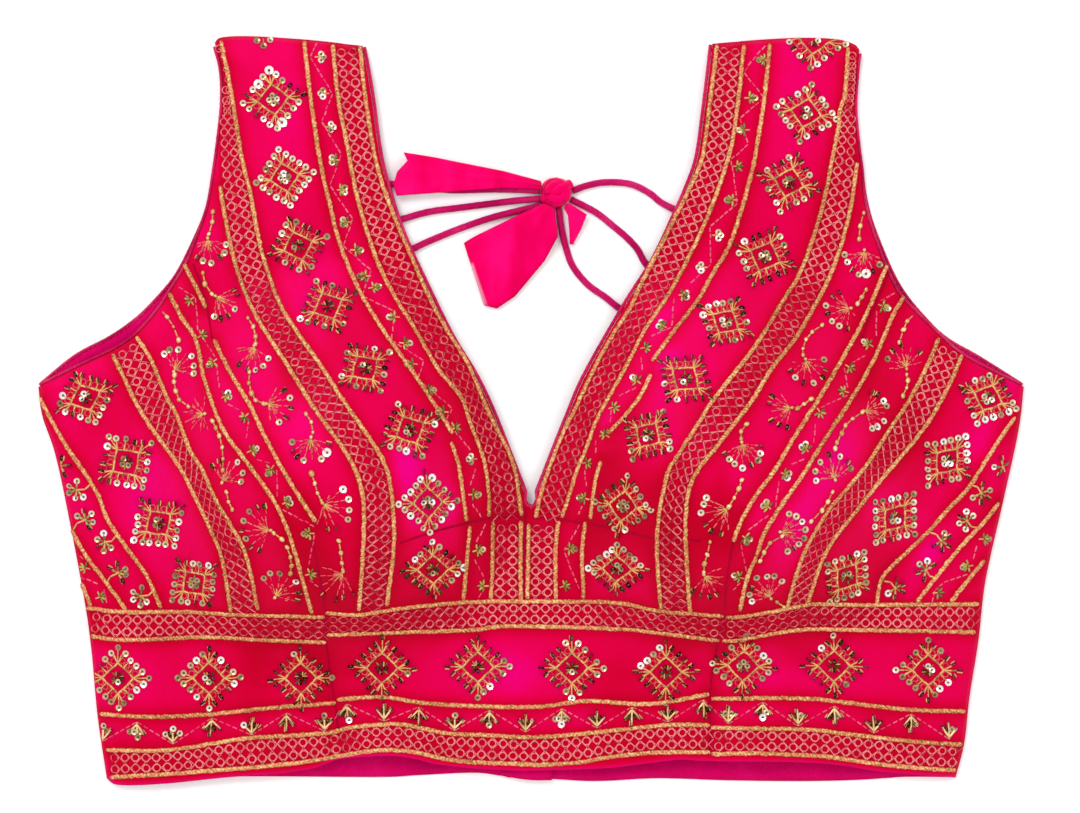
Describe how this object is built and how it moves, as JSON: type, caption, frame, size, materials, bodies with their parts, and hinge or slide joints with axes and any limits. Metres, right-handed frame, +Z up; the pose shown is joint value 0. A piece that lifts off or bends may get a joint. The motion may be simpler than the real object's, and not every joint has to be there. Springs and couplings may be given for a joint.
{
  "type": "choli blouse",
  "caption": "Sleeveless V-neck choli blouse laid flat front up, with padded cups, darts, corded piping, a deep back neck tied with strings and a hooked back.",
  "frame": {"origin": "under the middle of the blouse, on the surface that it lies on", "axes": "+X across the blouse, to the right as seen from above; +Y from the hem to the shoulders; +Z up"},
  "size_m": [0.4805, 0.3649, 0.0393],
  "materials": {
    "satin": "shot satin, hot pink to red, with gold embroidery and sequins",
    "lining": "plain dark magenta lining",
    "piping": "satin bias piping, dark magenta",
    "ties": "rolled and doubled satin",
    "brass": "drawn wire"
  },
  "bodies": {
    "root": {"front": "satin", "back_left": "lining", "back_right": "lining", "neck_piping_left": "piping", "neck_piping_right": "piping", "armhole_piping_left": "piping", "armhole_piping_right": "piping", "back_neck_piping_left": "piping", "back_neck_piping_right": "piping", "back_armhole_piping_left": "piping", "back_armhole_piping_right": "piping", "string_left_1": "ties", "string_left_2": "ties", "string_left_3": "ties", "string_right_1": "ties", "string_right_2": "ties", "string_right_3": "ties", "knot": "ties", "tail_upper": "ties", "tail_lower": "ties", "tail_small": "ties", "hook_1": "brass", "hook_2": "brass", "hook_3": "brass", "hook_4": "brass"}
  },
  "joints": []
}
